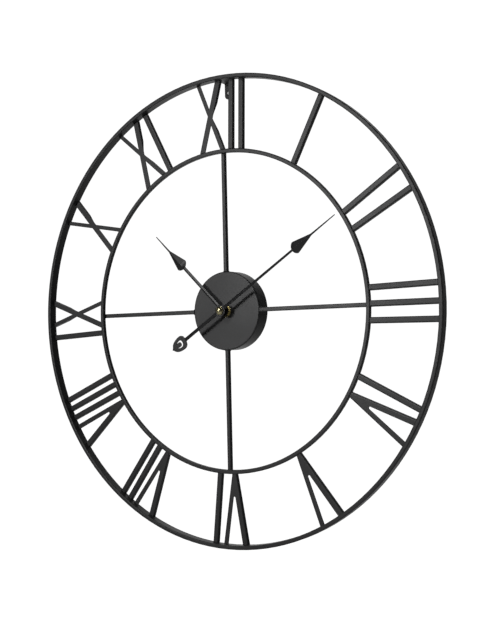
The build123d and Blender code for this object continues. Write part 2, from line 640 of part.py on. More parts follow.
# --- movement front case ---
with BuildPart() as movement_front_case:
    with BuildSketch(face(CASE_BACK)):
        RectangleRounded(CASE_SIDE, CASE_SIDE, CASE_CORNER)
    extrude(amount=CASE_FRONT - CASE_BACK)
    with BuildSketch(face(CASE_BACK)):
        RectangleRounded(CASE_SIDE - 2 * CASE_SIDE_WALL, CASE_SIDE - 2 * CASE_SIDE_WALL, CASE_CORNER - 1)
    extrude(amount=FRONT_INSIDE - CASE_BACK, mode=Mode.SUBTRACT)
    bay_side = CASE_SIDE - 2 * CASE_SIDE_WALL
    with BuildSketch(face(CASE_BACK)):
        with Locations((0, (BAY_WALL_LOW + BAY_WALL_HIGH) / 2)):
            Rectangle(bay_side, BAY_WALL_HIGH - BAY_WALL_LOW)
    extrude(amount=FRONT_INSIDE - CASE_BACK)
    with BuildSketch(face(FRONT_INSIDE)):
        with Locations((0, CELL_Z)):
            Rectangle(bay_side - 2, 2 * CELL_RADIUS)
    extrude(amount=CASE_WALL - BAY_FLOOR, mode=Mode.SUBTRACT)
    add_disc(THIRD_AT, 12.8, FRONT_INSIDE - 12.8, POST)
    for plate_post in ((-19.0, -7.5), (18.0, -7.5)):
        add_disc(plate_post, PLATE_LAYER + PLATE_THICK, FRONT_INSIDE - PLATE_LAYER - PLATE_THICK, 1.3)
    add_disc(AXIS, FRONT_INSIDE, CASE_WALL, BUSH_COLLAR_RADIUS, Mode.SUBTRACT)
    add_disc(MINUTE_WHEEL_AT, MINUTE_LAYER, FRONT_INSIDE - MINUTE_LAYER, PIVOT)
    add_disc(SETTING_AT, FRONT_INSIDE, 0.9, PIVOT + RUN_GAP, Mode.SUBTRACT)
    strip_slot = STRIP_LOW + STRIP_DEPTH - CASE_BACK + 0.1
    with BuildSketch(face(CASE_BACK)):
        with Locations((CASE_SIDE / 2 - CASE_SIDE_WALL - 0.35, (BAY_WALL_LOW + BAY_WALL_HIGH) / 2)):
            Rectangle(0.7, 1.2)
    extrude(amount=strip_slot, mode=Mode.SUBTRACT)
    add_disc(THIRD_AT, 12.8, 1.0, PIVOT + RUN_GAP, Mode.SUBTRACT)
save(movement_front_case, "movement_front_case")

# --- movement back cover over the wheels ---
with BuildPart() as movement_back_cover:
    with BuildSketch(face(COVER_BACK)) as cover:
        RectangleRounded(CASE_SIDE, CASE_SIDE, CASE_CORNER)
        with Locations((0, BAY_WALL_LOW - CASE_SIDE / 2)):
            Rectangle(CASE_SIDE + 2, CASE_SIDE, mode=Mode.SUBTRACT)
    extrude(amount=CASE_BACK - COVER_BACK)
    add_disc(THIRD_AT, CASE_BACK, 4.2, POST)
    add_disc(AXIS, CASE_BACK, 2.2, POST)
    add_disc(THIRD_AT, 7.0, 1.0, PIVOT + RUN_GAP, Mode.SUBTRACT)
    add_disc(AXIS, 4.4, 1.6, PIVOT + RUN_GAP, Mode.SUBTRACT)
    for pivot_at in (FIFTH_AT, ROTOR_AT):
        add_disc(pivot_at, 2.9, 0.9, PIVOT + RUN_GAP, Mode.SUBTRACT)
    add_disc(SETTING_AT, COVER_BACK, CASE_BACK - COVER_BACK, STEM_RADIUS + RUN_GAP, Mode.SUBTRACT)
save(movement_back_cover, "movement_back_cover")

# --- circuit board, chip under resin, quartz crystal ---
BOARD_BACK = 5.0
with BuildPart() as circuit_board:
    with BuildSketch(face(BOARD_BACK)):
        with Locations((17.5, 19.8)):
            Rectangle(16.0, 11.6)
    extrude(amount=1.0)
save(circuit_board, "circuit_board")
with BuildPart() as chip_blob:
    add_disc((14.0, 20.5), BOARD_BACK + 1.0, 1.1, 2.4)
    fillet(chip_blob.faces().sort_by(Axis.Y)[0].edges(), radius=0.9)
save(chip_blob, "chip_blob")
with BuildPart() as quartz_crystal:
    with BuildSketch(Plane(origin=(18.6, -BOARD_BACK - 2.05, -HANG_DROP + 23.6), x_dir=(0, 0, 1),
                           z_dir=(1, 0, 0))):
        Circle(1.0)
    extrude(amount=6.0)
save(quartz_crystal, "quartz_crystal")

# --- battery ---
with BuildPart() as battery:
    with BuildSketch(Plane(origin=(CELL_LOW_END, -CELL_HEIGHT, -HANG_DROP + CELL_Z), x_dir=(0, 0, 1),
                           z_dir=(1, 0, 0))):
        Circle(CELL_RADIUS)
    extrude(amount=CELL_LENGTH)
    fillet(battery.edges(), radius=0.6)
    with BuildSketch(Plane(origin=(CELL_LOW_END + CELL_LENGTH, -CELL_HEIGHT, -HANG_DROP + CELL_Z),
                           x_dir=(0, 0, 1), z_dir=(1, 0, 0))):
        Circle(CELL_NUB_RADIUS)
    extrude(amount=CELL_NUB)
save(battery, "battery")

# --- battery contacts, folded from strip ---
inside_x = CASE_SIDE / 2 - CASE_SIDE_WALL
contact_x = CELL_LOW_END + CELL_LENGTH + CELL_NUB + 0.1
with BuildPart() as positive_contact:
    with BuildSketch(face(STRIP_LOW)) as positive_strip:
        Polygon(
            (inside_x - 0.05, -24.5),
            (inside_x - 0.05, 17.0),
            (inside_x - 0.05 - STRIP, 17.0),
            (inside_x - 0.05 - STRIP, -12.9),
            (contact_x, -16.5),
            (contact_x, -21.0),
            (inside_x - 0.05 - STRIP, -24.2),
            align=None,
        )
        Polygon(
            (inside_x - 0.05 - STRIP, -14.2),
            (contact_x + STRIP, -16.9),
            (contact_x + STRIP, -20.6),
            (inside_x - 0.05 - STRIP, -22.9),
            align=None,
            mode=Mode.SUBTRACT,
        )
    extrude(amount=STRIP_DEPTH)
save(positive_contact, "positive_contact")

with BuildPart() as negative_contact:
    with BuildSketch(face(STRIP_LOW)) as negative_strip:
        Polygon(
            (0.05 - inside_x, -24.5),
            (0.05 - inside_x, -12.5),
            (0.05 - inside_x + STRIP, -12.5),
            (CELL_LOW_END - 0.1, -16.5),
            (CELL_LOW_END - 0.1, -21.0),
            (0.05 - inside_x + STRIP, -24.5),
            align=None,
        )
        Polygon(
            (0.05 - inside_x + STRIP, -14.0),
            (CELL_LOW_END - 0.1 - STRIP, -16.9),
            (CELL_LOW_END - 0.1 - STRIP, -20.6),
            (0.05 - inside_x + STRIP, -23.0),
            align=None,
            mode=Mode.SUBTRACT,
        )
    extrude(amount=STRIP_DEPTH)
save(negative_contact, "negative_contact")

# --- fixing stack on the hub face ---
with BuildPart() as threaded_bush:
    add_disc(AXIS, FRONT_INSIDE, CASE_WALL, BUSH_COLLAR_RADIUS)
    add_disc(AXIS, CASE_FRONT, BUSH_TOP - CASE_FRONT, BUSH_RADIUS)
    chamfer(threaded_bush.faces().sort_by(Axis.Y)[0].edges(), length=0.5)
    add_disc(AXIS, FRONT_INSIDE, BUSH_TOP - FRONT_INSIDE, HOUR_PIPE_RADIUS + RUN_GAP, Mode.SUBTRACT)
save(threaded_bush, "threaded_bush")
with BuildPart() as rubber_washer:
    add_disc(AXIS, CASE_FRONT, HUB_DEPTH - HUB_SHEET - CASE_FRONT, RUBBER_RADIUS)
    add_disc(AXIS, CASE_FRONT, HUB_DEPTH - HUB_SHEET - CASE_FRONT, HUB_HOLE_RADIUS, Mode.SUBTRACT)
save(rubber_washer, "rubber_washer")
with BuildPart() as brass_washer:
    add_disc(AXIS, HUB_DEPTH, WASHER_THICK, WASHER_RADIUS)
    add_disc(AXIS, HUB_DEPTH, WASHER_THICK, HUB_HOLE_RADIUS, Mode.SUBTRACT)
save(brass_washer, "brass_washer")
with BuildPart() as mounting_nut:
    with BuildSketch(face(HUB_DEPTH + WASHER_THICK)):
        RegularPolygon(NUT_FLATS / 2, 6, major_radius=False)
        Circle(BUSH_RADIUS + WELD_GAP, mode=Mode.SUBTRACT)
    extrude(amount=NUT_THICK)
save(mounting_nut, "mounting_nut")


# --- hands ---
def head_outline(base, widest, end, half):
    """Outline of a spade head: a round heel, then a straight taper to the needle."""
    heel = half - (widest - base) * 0.35
    with BuildLine() as outline:
        Spline((0.0, base), (-heel, base + 0.32 * (widest - base)), (-half, widest),
               tangents=((-1, 0), (0.15, 1)))
        Line((-half, widest), (-NEEDLE_HALF, end))
        Line((-NEEDLE_HALF, end), (NEEDLE_HALF, end))
        Line((NEEDLE_HALF, end), (half, widest))
        Spline((half, widest), (heel, base + 0.32 * (widest - base)), (0.0, base),
               tangents=((0.15, -1), (-1, 0)))
    make_face(outline.edges())


def drop_outline(near, widest, far, half, mode):
    """Outline of a drop with a round near end and a point at the far end, below the axis."""
    with BuildLine() as outline:
        Spline((0.0, -near), (-half, -widest), (-0.5 * half, -(widest + 0.74 * (far - widest))), (0.0, -far),
               tangents=((-1, 0), (0.8, -1)))
        Spline((0.0, -far), (0.5 * half, -(widest + 0.74 * (far - widest))), (half, -widest), (0.0, -near),
               tangents=((0.8, 1), (-1, 0)))
    make_face(outline.edges(), mode=mode)


def needle(start, end, start_half, end_half):
    """Long tapered strip of a hand, straight along its axis."""
    Polygon((-start_half, start), (start_half, start), (end_half, end), (-end_half, end), align=None)


with BuildPart() as hour_hand:
    with BuildSketch(clock_face(HOUR_ANGLE, HOUR_HAND_BACK)):
        Circle(HAND_DISC_RADIUS)
        needle(0, HOUR_HEAD[0] + 1, *HOUR_SHAFT_HALF)
        head_outline(*HOUR_HEAD, HOUR_HEAD_HALF)
        needle(HOUR_HEAD[2] - 1, HOUR_TIP, NEEDLE_HALF, TIP_HALF)
        Circle(HOUR_PIPE_RADIUS, mode=Mode.SUBTRACT)
    extrude(amount=HAND_SHEET)
save(hour_hand, "hour_hand")

with BuildPart() as minute_hand:
    with BuildSketch(clock_face(MINUTE_ANGLE, MINUTE_HAND_BACK)):
        Circle(HAND_DISC_RADIUS)
        needle(0, MINUTE_HEAD[0] + 1, *MINUTE_SHAFT_HALF)
        head_outline(*MINUTE_HEAD, MINUTE_HEAD_HALF)
        needle(MINUTE_HEAD[2] - 1, MINUTE_TIP, NEEDLE_HALF, TIP_HALF)
        needle(-TAIL_LOOP[0] - 1, 0, TAIL_SHAFT_HALF, MINUTE_SHAFT_HALF[0])
        drop_outline(*TAIL_LOOP, TAIL_LOOP_HALF, Mode.ADD)
        drop_outline(*TAIL_HOLE, TAIL_HOLE_HALF, Mode.SUBTRACT)
        drop_outline(*TAIL_LEAF, TAIL_LEAF_HALF, Mode.ADD)
        Circle(MINUTE_PIPE_RADIUS, mode=Mode.SUBTRACT)
    extrude(amount=HAND_SHEET)
save(minute_hand, "minute_hand")

with BuildPart() as hour_hand_bush:
    add_disc(AXIS, HOUR_BUSH_BACK, HOUR_HAND_BACK - HOUR_BUSH_BACK, HOUR_BUSH_RADIUS)
    add_disc(AXIS, HOUR_BUSH_BACK, HOUR_HAND_BACK - HOUR_BUSH_BACK, HOUR_PIPE_RADIUS, Mode.SUBTRACT)
save(hour_hand_bush, "hour_hand_bush")
with BuildPart() as minute_hand_bush:
    add_disc(AXIS, MINUTE_BUSH_BACK, MINUTE_HAND_BACK - MINUTE_BUSH_BACK, MINUTE_BUSH_RADIUS)
    add_disc(AXIS, MINUTE_BUSH_BACK, MINUTE_HAND_BACK - MINUTE_BUSH_BACK, MINUTE_PIPE_RADIUS, Mode.SUBTRACT)
save(minute_hand_bush, "minute_hand_bush")

# --- domed cap nut on the end of the minute pipe ---
cap_back = MINUTE_HAND_BACK + HAND_SHEET
dome_back = cap_back + CAP_HEX_THICK
with BuildPart() as cap_nut:
    with BuildSketch(face(cap_back)):
        RegularPolygon(CAP_FLATS / 2, 6, major_radius=False)
    extrude(amount=CAP_HEX_THICK)
    add_disc(AXIS, dome_back, CAP_TOP - dome_back, CAP_RADIUS)
    fillet(cap_nut.faces().sort_by(Axis.Y)[0].edges(), radius=CAP_TOP - dome_back - 0.1)
    add_disc(AXIS, cap_back, MINUTE_PIPE_TOP - cap_back + 0.2, MINUTE_PIPE_RADIUS, Mode.SUBTRACT)
save(cap_nut, "cap_nut")
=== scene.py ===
"""Looks of a skeleton wall clock: finishes for every piece, embossed hands, welds and movement details."""
import json
import logging
import math
from contextlib import contextmanager
from dataclasses import dataclass, field
from enum import Enum
from typing import Callable, Iterator, Sequence

import bmesh
import bpy
from mathutils import Matrix, Vector


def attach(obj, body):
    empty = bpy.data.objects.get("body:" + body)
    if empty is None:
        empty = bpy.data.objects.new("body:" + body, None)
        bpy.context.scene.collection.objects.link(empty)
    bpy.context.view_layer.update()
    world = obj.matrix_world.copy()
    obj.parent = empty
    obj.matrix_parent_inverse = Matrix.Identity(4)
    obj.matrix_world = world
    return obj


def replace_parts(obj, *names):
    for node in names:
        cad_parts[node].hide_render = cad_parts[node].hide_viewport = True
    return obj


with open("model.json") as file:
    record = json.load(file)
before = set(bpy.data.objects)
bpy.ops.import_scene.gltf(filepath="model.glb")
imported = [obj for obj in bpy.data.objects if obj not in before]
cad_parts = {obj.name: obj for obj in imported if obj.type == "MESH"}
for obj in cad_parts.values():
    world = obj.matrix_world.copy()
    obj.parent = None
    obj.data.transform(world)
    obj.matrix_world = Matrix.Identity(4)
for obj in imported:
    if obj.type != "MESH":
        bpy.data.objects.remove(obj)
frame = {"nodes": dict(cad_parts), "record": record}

logging.basicConfig(level=logging.INFO, format="%(message)s")
log = logging.getLogger("clock")

MM = 0.001
HAND_AXIS_Z = -0.284
RIM_HEIGHT = 32.0
HUB_RADIUS = 50.4
HUB_FACE = 20.0
INNER_RADIUS = 206.6
BAND_OUT = 294.7
NUMERAL_BACK = 20.0

Colour = tuple[float, float, float]
Point = tuple[float, float, float]
Tree = bpy.types.NodeTree
Socket = bpy.types.NodeSocket
LightSetting = tuple[str, tuple[float, float], float, float, float]


class Body(Enum):
    """Rigid bodies that a visual piece can ride on."""

    FRAME = "clock_frame"
    MINUTE = "minute_assembly"
    HOUR = "hour_assembly"
    BATTERY = "battery_body"


class Slot(Enum):
    """Material slots of the record."""

    COAT = "black_powder_coat"
    HAND = "black_hand_paint"
    BRASS = "brass"
    RUBBER = "black_rubber"
    CASE = "black_movement_plastic"
    WHITE = "white_plastic"
    GEAR = "gear_plastic"
    KNOB = "knob_plastic"
    LAMINATION = "silicon_steel"
    MAGNET = "magnet"
    COPPER = "copper_wire"
    BOARD = "board"
    RESIN = "black_resin"
    CAN = "crystal_can"
    STRIP = "nickel_strip"
    SLEEVE = "battery_sleeve"


# --- shader groups -------------------------------------------------------------------------


def new_group(name: str, inputs: Sequence[tuple[str, float]], outputs: Sequence[str]) -> Tree:
    """Make an empty shader group.

    Args:
        name: name of the group.
        inputs: float inputs with their defaults; a Vector input is always added first.
        outputs: names of float outputs.

    Returns:
        The node tree, with its input and output nodes already added.
    """
    tree = bpy.data.node_groups.new(name, "ShaderNodeTree")
    tree.interface.new_socket("Vector", in_out="INPUT", socket_type="NodeSocketVector")
    for label, default in inputs:
        socket = tree.interface.new_socket(label, in_out="INPUT", socket_type="NodeSocketFloat")
        socket.default_value = default
    for label in outputs:
        tree.interface.new_socket(label, in_out="OUTPUT", socket_type="NodeSocketFloat")
    tree.nodes.new("NodeGroupInput").name = "in"
    tree.nodes.new("NodeGroupOutput").name = "out"
    return tree


def math_node(tree: Tree, operation: str, first: object, second: object) -> Socket:
    """Add a math node.

    Args:
        tree: tree to add it to.
        operation: Blender's name of the operation.
        first: socket or number.
        second: socket or number.

    Returns:
        The node's output socket.
    """
    node = tree.nodes.new("ShaderNodeMath")
    node.operation = operation
    for index, value in enumerate((first, second)):
        if isinstance(value, Socket):
            tree.links.new(value, node.inputs[index])
        else:
            node.inputs[index].default_value = value
    return node.outputs[0]


def noise_node(tree: Tree, vector: Socket, scale: object, detail: float) -> Socket:
    """Add a noise texture.

    Args:
        tree: tree to add it to.
        vector: coordinates.
        scale: socket or number, in cycles per metre.
        detail: octaves.

    Returns:
        The grey value socket, about 0.5 on average.
    """
    node = tree.nodes.new("ShaderNodeTexNoise")
    node.inputs["Detail"].default_value = detail
    if isinstance(scale, Socket):
        tree.links.new(scale, node.inputs["Scale"])
    else:
        node.inputs["Scale"].default_value = scale
    tree.links.new(vector, node.inputs["Vector"])
    return node.outputs[0]


def ramp_node(tree: Tree, value: Socket, low: float, high: float,
              to_low: float = 0.0, to_high: float = 1.0) -> Socket:
    """Map a range of values to another and clamp it.

    Args:
        tree: tree to add it to.
        value: value to map.
        low: value that gives to_low.
        high: value that gives to_high.
        to_low: result at low.
        to_high: result at high.

    Returns:
        The mapped value socket.
    """
    node = tree.nodes.new("ShaderNodeMapRange")
    for label, number in (("From Min", low), ("From Max", high), ("To Min", to_low), ("To Max", to_high)):
        node.inputs[label].default_value = number
    tree.links.new(value, node.inputs["Value"])
    return node.outputs["Result"]


def grain_group() -> Tree:
    """Fine surface grain: orange peel, pores and slow unevenness, as a height and a roughness spread."""
    tree = new_group("grain", (("Scale", 900.0), ("Fineness", 3.0)), ("Height", "Spread", "Tone"))
    start, end = tree.nodes["in"], tree.nodes["out"]
    vector, scale = start.outputs["Vector"], start.outputs["Scale"]
    peel = noise_node(tree, vector, scale, 1.5)
    fine = noise_node(tree, vector, math_node(tree, "MULTIPLY", scale, start.outputs["Fineness"]), 2.0)
    slow = noise_node(tree, vector, 14.0, 3.0)
    height = math_node(tree, "ADD", peel, math_node(tree, "MULTIPLY", fine, 0.35))
    tree.links.new(height, end.inputs["Height"])
    spread = math_node(tree, "ADD", ramp_node(tree, slow, 0.35, 0.65, -1.0, 1.0),
                       ramp_node(tree, fine, 0.3, 0.7, -0.5, 0.5))
    tree.links.new(spread, end.inputs["Spread"])
    tree.links.new(ramp_node(tree, slow, 0.3, 0.7, 0.0, 1.0), end.inputs["Tone"])
    return tree


def wear_group() -> Tree:
    """Faint dust and short scuffs, as two masks."""
    tree = new_group("wear", (("Dust", 0.5), ("Scuffs", 0.5)), ("Dust", "Scuff"))
    start, end = tree.nodes["in"], tree.nodes["out"]
    vector = start.outputs["Vector"]
    specks = ramp_node(tree, noise_node(tree, vector, 620.0, 4.0), 0.62, 0.78)
    patches = ramp_node(tree, noise_node(tree, vector, 22.0, 3.0), 0.42, 0.68)
    dust = math_node(tree, "MULTIPLY", math_node(tree, "MULTIPLY", specks, patches), start.outputs["Dust"])
    tree.links.new(dust, end.inputs["Dust"])
    stretch = tree.nodes.new("ShaderNodeMapping")
    stretch.inputs["Scale"].default_value = (1.0, 6.0, 0.08)
    stretch.inputs["Rotation"].default_value = (0.3, 0.1, 0.7)
    tree.links.new(vector, stretch.inputs["Vector"])
    lines = ramp_node(tree, noise_node(tree, stretch.outputs[0], 900.0, 1.0), 0.69, 0.74)
    gate = ramp_node(tree, noise_node(tree, vector, 55.0, 1.0), 0.55, 0.62)
    scuff = math_node(tree, "MULTIPLY", math_node(tree, "MULTIPLY", lines, gate), start.outputs["Scuffs"])
    tree.links.new(scuff, end.inputs["Scuff"])
    return tree


class Groups:
    """Shader groups that the finishes share, made once."""

    made: dict[str, Tree] = {}

    @classmethod
    def get(cls, name: str) -> Tree:
        """Return a shared group, making it the first time.

        Args:
            name: "grain" or "wear".

        Returns:
            The group's node tree.
        """
        if name not in cls.made:
            cls.made[name] = {"grain": grain_group, "wear": wear_group}[name]()
        return cls.made[name]


# --- finishes ------------------------------------------------------------------------------


@dataclass(frozen=True)
class Finish:
    """A finish with grain, wear and uneven gloss on object coordinates.

    Attributes:
        name: name of the material.
        colour: base colour, linear.
        second: colour that the uneven tone drifts towards, linear.
        roughness: mean roughness.
        spread: how far the roughness varies.
        metallic: 0 or 1.
        grain_scale: cycles of grain per metre.
        bump: height of the grain in metres.
        dust: amount of dust.
        scuffs: amount of scuffs.
        coat: weight of a clear coat.
        edge: radius of softened edges in metres, or 0.
        stretch: scale of the grain along each axis.
    """

    name: str
    colour: Colour
    second: Colour
    roughness: float
    spread: float = 0.05
    metallic: float = 0.0
    grain_scale: float = 900.0
    bump: float = 0.00002
    dust: float = 0.4
    scuffs: float = 0.3
    coat: float = 0.0
    edge: float = 0.0
    stretch: Point = (1.0, 1.0, 1.0)

    def build(self) -> bpy.types.Material:
        """Make the material.

        Returns:
            The new material.
        """
        material = bpy.data.materials.new(self.name)
        material.use_nodes = True
        tree = material.node_tree
        shader = tree.nodes["Principled BSDF"]
        shader.inputs["Metallic"].default_value = self.metallic
        shader.inputs["Coat Weight"].default_value = self.coat
        coordinates = tree.nodes.new("ShaderNodeTexCoord").outputs["Object"]
        mapping = tree.nodes.new("ShaderNodeMapping")
        mapping.inputs["Scale"].default_value = self.stretch
        tree.links.new(coordinates, mapping.inputs["Vector"])
        grain = self.group(tree, "grain", mapping.outputs[0])
        grain.inputs["Scale"].default_value = self.grain_scale
        wear = self.group(tree, "wear", coordinates)
        wear.inputs["Dust"].default_value = self.dust
        wear.inputs["Scuffs"].default_value = self.scuffs
        colour = self.mix(tree, grain.outputs["Tone"], self.colour, self.second)
        colour = self.pattern(tree, coordinates, colour)
        dusty = tuple(0.35 * value + 0.2 for value in self.colour)
        colour = self.mix(tree, wear.outputs["Dust"], colour, dusty)
        scuffed = tuple(min(1.0, 1.6 * value + 0.03) for value in self.colour)
        colour = self.mix(tree, wear.outputs["Scuff"], colour, scuffed)
        tree.links.new(colour, shader.inputs["Base Color"])
        rough = math_node(tree, "MULTIPLY", grain.outputs["Spread"], self.spread)
        rough = math_node(tree, "ADD", rough, self.roughness)
        rough = math_node(tree, "ADD", rough, math_node(tree, "MULTIPLY", wear.outputs["Dust"], 0.25))
        tree.links.new(rough, shader.inputs["Roughness"])
        bump = tree.nodes.new("ShaderNodeBump")
        bump.inputs["Strength"].default_value = 1.0
        bump.inputs["Distance"].default_value = self.bump
        height = self.relief(tree, coordinates, grain.outputs["Height"])
        tree.links.new(height, bump.inputs["Height"])
        if self.edge:
            soft = tree.nodes.new("ShaderNodeBevel")
            soft.samples = 4
            soft.inputs["Radius"].default_value = self.edge
            tree.links.new(soft.outputs[0], bump.inputs["Normal"])
        tree.links.new(bump.outputs[0], shader.inputs["Normal"])
        return material

    def group(self, tree: Tree, name: str, vector: Socket) -> bpy.types.Node:
        """Add a shared group to the material.

        Args:
            tree: the material's tree.
            name: name of the group.
            vector: coordinates for it.

        Returns:
            The group node.
        """
        node = tree.nodes.new("ShaderNodeGroup")
        node.node_tree = Groups.get(name)
        tree.links.new(vector, node.inputs["Vector"])
        return node

    def mix(self, tree: Tree, factor: Socket, first: object, second: object) -> Socket:
        """Mix two colours.

        Args:
            tree: the material's tree.
            factor: 0 for the first colour, 1 for the second.
            first: socket or colour.
            second: socket or colour.

        Returns:
            The mixed colour socket.
        """
        node = tree.nodes.new("ShaderNodeMix")
        node.data_type = "RGBA"
        tree.links.new(factor, node.inputs["Factor"])
        for socket, value in ((node.inputs[6], first), (node.inputs[7], second)):
            if isinstance(value, Socket):
                tree.links.new(value, socket)
            else:
                socket.default_value = (*value, 1.0)
        return node.outputs[2]

    def pattern(self, tree: Tree, coordinates: Socket, colour: Socket) -> Socket:
        """Colour pattern over the plain tone; the plain finish has none."""
        return colour

    def relief(self, tree: Tree, coordinates: Socket, height: Socket) -> Socket:
        """Relief over the grain; the plain finish has none."""
        return height


@dataclass(frozen=True)
class BandedFinish(Finish):
    """A finish with parallel turns or grooves across one axis.

    Attributes:
        axis: "X", "Y" or "Z", the direction across the bands.
        pitch: band spacing in metres.
        band: colour of the grooves; on the coil it is painted shade between the turns, on the board the
            lighter stripes of its print.
        depth: how strongly the bands show in the relief.
    """

    axis: str = "X"
    pitch: float = 0.0003
    # dark copper by default: painted shade in the grooves between the coil's turns
    band: Colour = (0.1, 0.04, 0.02)
    depth: float = 2.0

    def wave(self, tree: Tree, coordinates: Socket) -> Socket:
        """Add the band texture and return its value socket."""
        node = tree.nodes.new("ShaderNodeTexWave")
        node.bands_direction = self.axis
        node.inputs["Scale"].default_value = 0.314 / self.pitch
        node.inputs["Distortion"].default_value = 0.15
        tree.links.new(coordinates, node.inputs["Vector"])
        return node.outputs["Fac"]

    def pattern(self, tree: Tree, coordinates: Socket, colour: Socket) -> Socket:
        """Paint the band colour into the grooves between the bands: painted shade between the coil's turns,
        lighter printed stripes on the board.
        """
        return self.mix(tree, ramp_node(tree, self.wave(tree, coordinates), 0.25, 0.0), colour, self.band)

    def relief(self, tree: Tree, coordinates: Socket, height: Socket) -> Socket:
        """Raise the bands."""
        bands = math_node(tree, "MULTIPLY", self.wave(tree, coordinates), self.depth)
        return math_node(tree, "ADD", height, bands)


@dataclass(frozen=True)
class SleeveFinish(Finish):
    """A cell's printed sleeve: two plain zones along X, and bare metal at both ends.

    Attributes:
        split: X where the two zones meet, in metres.
        zone: colour of the zone past the split.
        ends: X of the sleeve's two ends, in metres.
        metal: colour of the bare ends.
    """

    split: float = 0.010
    zone: Colour = (0.55, 0.25, 0.06)
    ends: tuple[float, float] = (-0.0249, 0.0233)
    metal: Colour = (0.62, 0.61, 0.58)

    def pattern(self, tree: Tree, coordinates: Socket, colour: Socket) -> Socket:
        """Colour the zones by their place along X."""
        parts = tree.nodes.new("ShaderNodeSeparateXYZ")
        tree.links.new(coordinates, parts.inputs[0])
        along = parts.outputs["X"]
        colour = self.mix(tree, math_node(tree, "GREATER_THAN", along, self.split), colour, self.zone)
        colour = self.mix(tree, math_node(tree, "GREATER_THAN", along, self.ends[1]), colour, self.metal)
        return self.mix(tree, math_node(tree, "LESS_THAN", along, self.ends[0]), colour, self.metal)


FINISHES: dict[Slot, Finish] = {
    Slot.COAT: Finish("satin_powder_coat", (0.024, 0.024, 0.025), (0.032, 0.032, 0.033), 0.45, 0.05,
                      grain_scale=1100.0, bump=0.00004, dust=0.12, scuffs=0.10, edge=0.0010),
    Slot.HAND: Finish("satin_hand_paint", (0.011, 0.011, 0.012), (0.017, 0.017, 0.018), 0.40, 0.04,
                      grain_scale=1500.0, bump=0.00002, dust=0.10, scuffs=0.12, edge=0.0002),
    Slot.BRASS: Finish("turned_brass", (0.66, 0.60, 0.36), (0.58, 0.51, 0.29), 0.24, 0.03, 1.0,
                       1600.0, 0.000002, 0.04, 0.15, edge=0.0003, stretch=(0.4, 6.0, 0.4)),
    Slot.RUBBER: Finish("moulded_rubber", (0.018, 0.018, 0.018), (0.028, 0.027, 0.026), 0.78, 0.06,
                        grain_scale=1400.0, bump=0.00005, dust=0.5, scuffs=0.2),
    Slot.CASE: Finish("sparked_black_plastic", (0.020, 0.020, 0.021), (0.030, 0.030, 0.031), 0.52, 0.05,
                      grain_scale=2600.0, bump=0.00005, dust=0.3, scuffs=0.35, edge=0.0003),
    Slot.WHITE: Finish("natural_plastic", (0.70, 0.70, 0.66), (0.64, 0.63, 0.58), 0.42, 0.05,
                       grain_scale=1500.0, bump=0.00002, dust=0.1, scuffs=0.2, edge=0.0001),
    Slot.GEAR: Finish("acetal", (0.78, 0.74, 0.62), (0.70, 0.66, 0.55), 0.34, 0.05,
                      grain_scale=1800.0, bump=0.00001, dust=0.05, scuffs=0.2, edge=0.00005),
    Slot.KNOB: Finish("red_plastic", (0.50, 0.030, 0.022), (0.42, 0.024, 0.018), 0.38, 0.05,
                      grain_scale=1800.0, bump=0.00002, dust=0.3, scuffs=0.4, edge=0.0002),
    Slot.LAMINATION: Finish("rolled_lamination", (0.36, 0.36, 0.37), (0.28, 0.28, 0.29), 0.38, 0.08, 1.0,
                            1500.0, 0.00001, 0.05, 0.6, stretch=(1.0, 1.0, 0.05)),
    Slot.MAGNET: Finish("sintered_magnet", (0.06, 0.06, 0.065), (0.09, 0.09, 0.09), 0.55, 0.08, 0.6,
                        2400.0, 0.00003, 0.05, 0.1),
    # the default band colour paints shade into the grooves between the turns
    Slot.COPPER: BandedFinish("enamelled_copper", (0.62, 0.24, 0.10), (0.50, 0.17, 0.07), 0.28, 0.05, 1.0,
                              2000.0, 0.00002, 0.0, 0.1, coat=0.4),
    Slot.BOARD: BandedFinish("solder_mask", (0.035, 0.14, 0.05), (0.045, 0.17, 0.06), 0.30, 0.04,
                             grain_scale=1600.0, bump=0.00001, dust=0.1, scuffs=0.1, coat=0.3,
                             axis="Z", pitch=0.0016, band=(0.07, 0.24, 0.08), depth=0.6),
    Slot.RESIN: Finish("glob_resin", (0.010, 0.010, 0.010), (0.016, 0.016, 0.016), 0.16, 0.05,
                       grain_scale=500.0, bump=0.00004, dust=0.2, scuffs=0.1, coat=0.5),
    Slot.CAN: Finish("drawn_can", (0.66, 0.66, 0.67), (0.58, 0.58, 0.60), 0.18, 0.05, 1.0,
                     1600.0, 0.00001, 0.05, 0.4, stretch=(0.1, 1.0, 1.0)),
    Slot.STRIP: Finish("nickel_plate", (0.60, 0.58, 0.53), (0.52, 0.50, 0.46), 0.24, 0.06, 1.0,
                       1500.0, 0.00001, 0.05, 0.5, stretch=(1.0, 1.0, 0.1)),
    Slot.SLEEVE: SleeveFinish("printed_sleeve", (0.020, 0.022, 0.026), (0.028, 0.030, 0.034), 0.26, 0.05,
                              grain_scale=1000.0, bump=0.00001, dust=0.15, scuffs=0.4, coat=0.5),
}


class Paint:
    """Materials by slot, and how they're put on pieces."""

    made: dict[Slot, bpy.types.Material] = {}

    @classmethod
    def of(cls, slot: Slot) -> bpy.types.Material:
        """Return the slot's material, making it the first time."""
        if slot not in cls.made:
            cls.made[slot] = FINISHES[slot].build()
        return cls.made[slot]

    @classmethod
    def put(cls, piece: bpy.types.Object, slot: Slot) -> None:
        """Give a piece one material.

        Args:
            piece: mesh object.
            slot: slot whose finish it takes.
        """
        if not piece.data.materials:
            piece.data.materials.append(cls.of(slot))
        for place in piece.material_slots:
            place.material = cls.of(slot)


# --- modelling helpers ---------------------------------------------------------------------


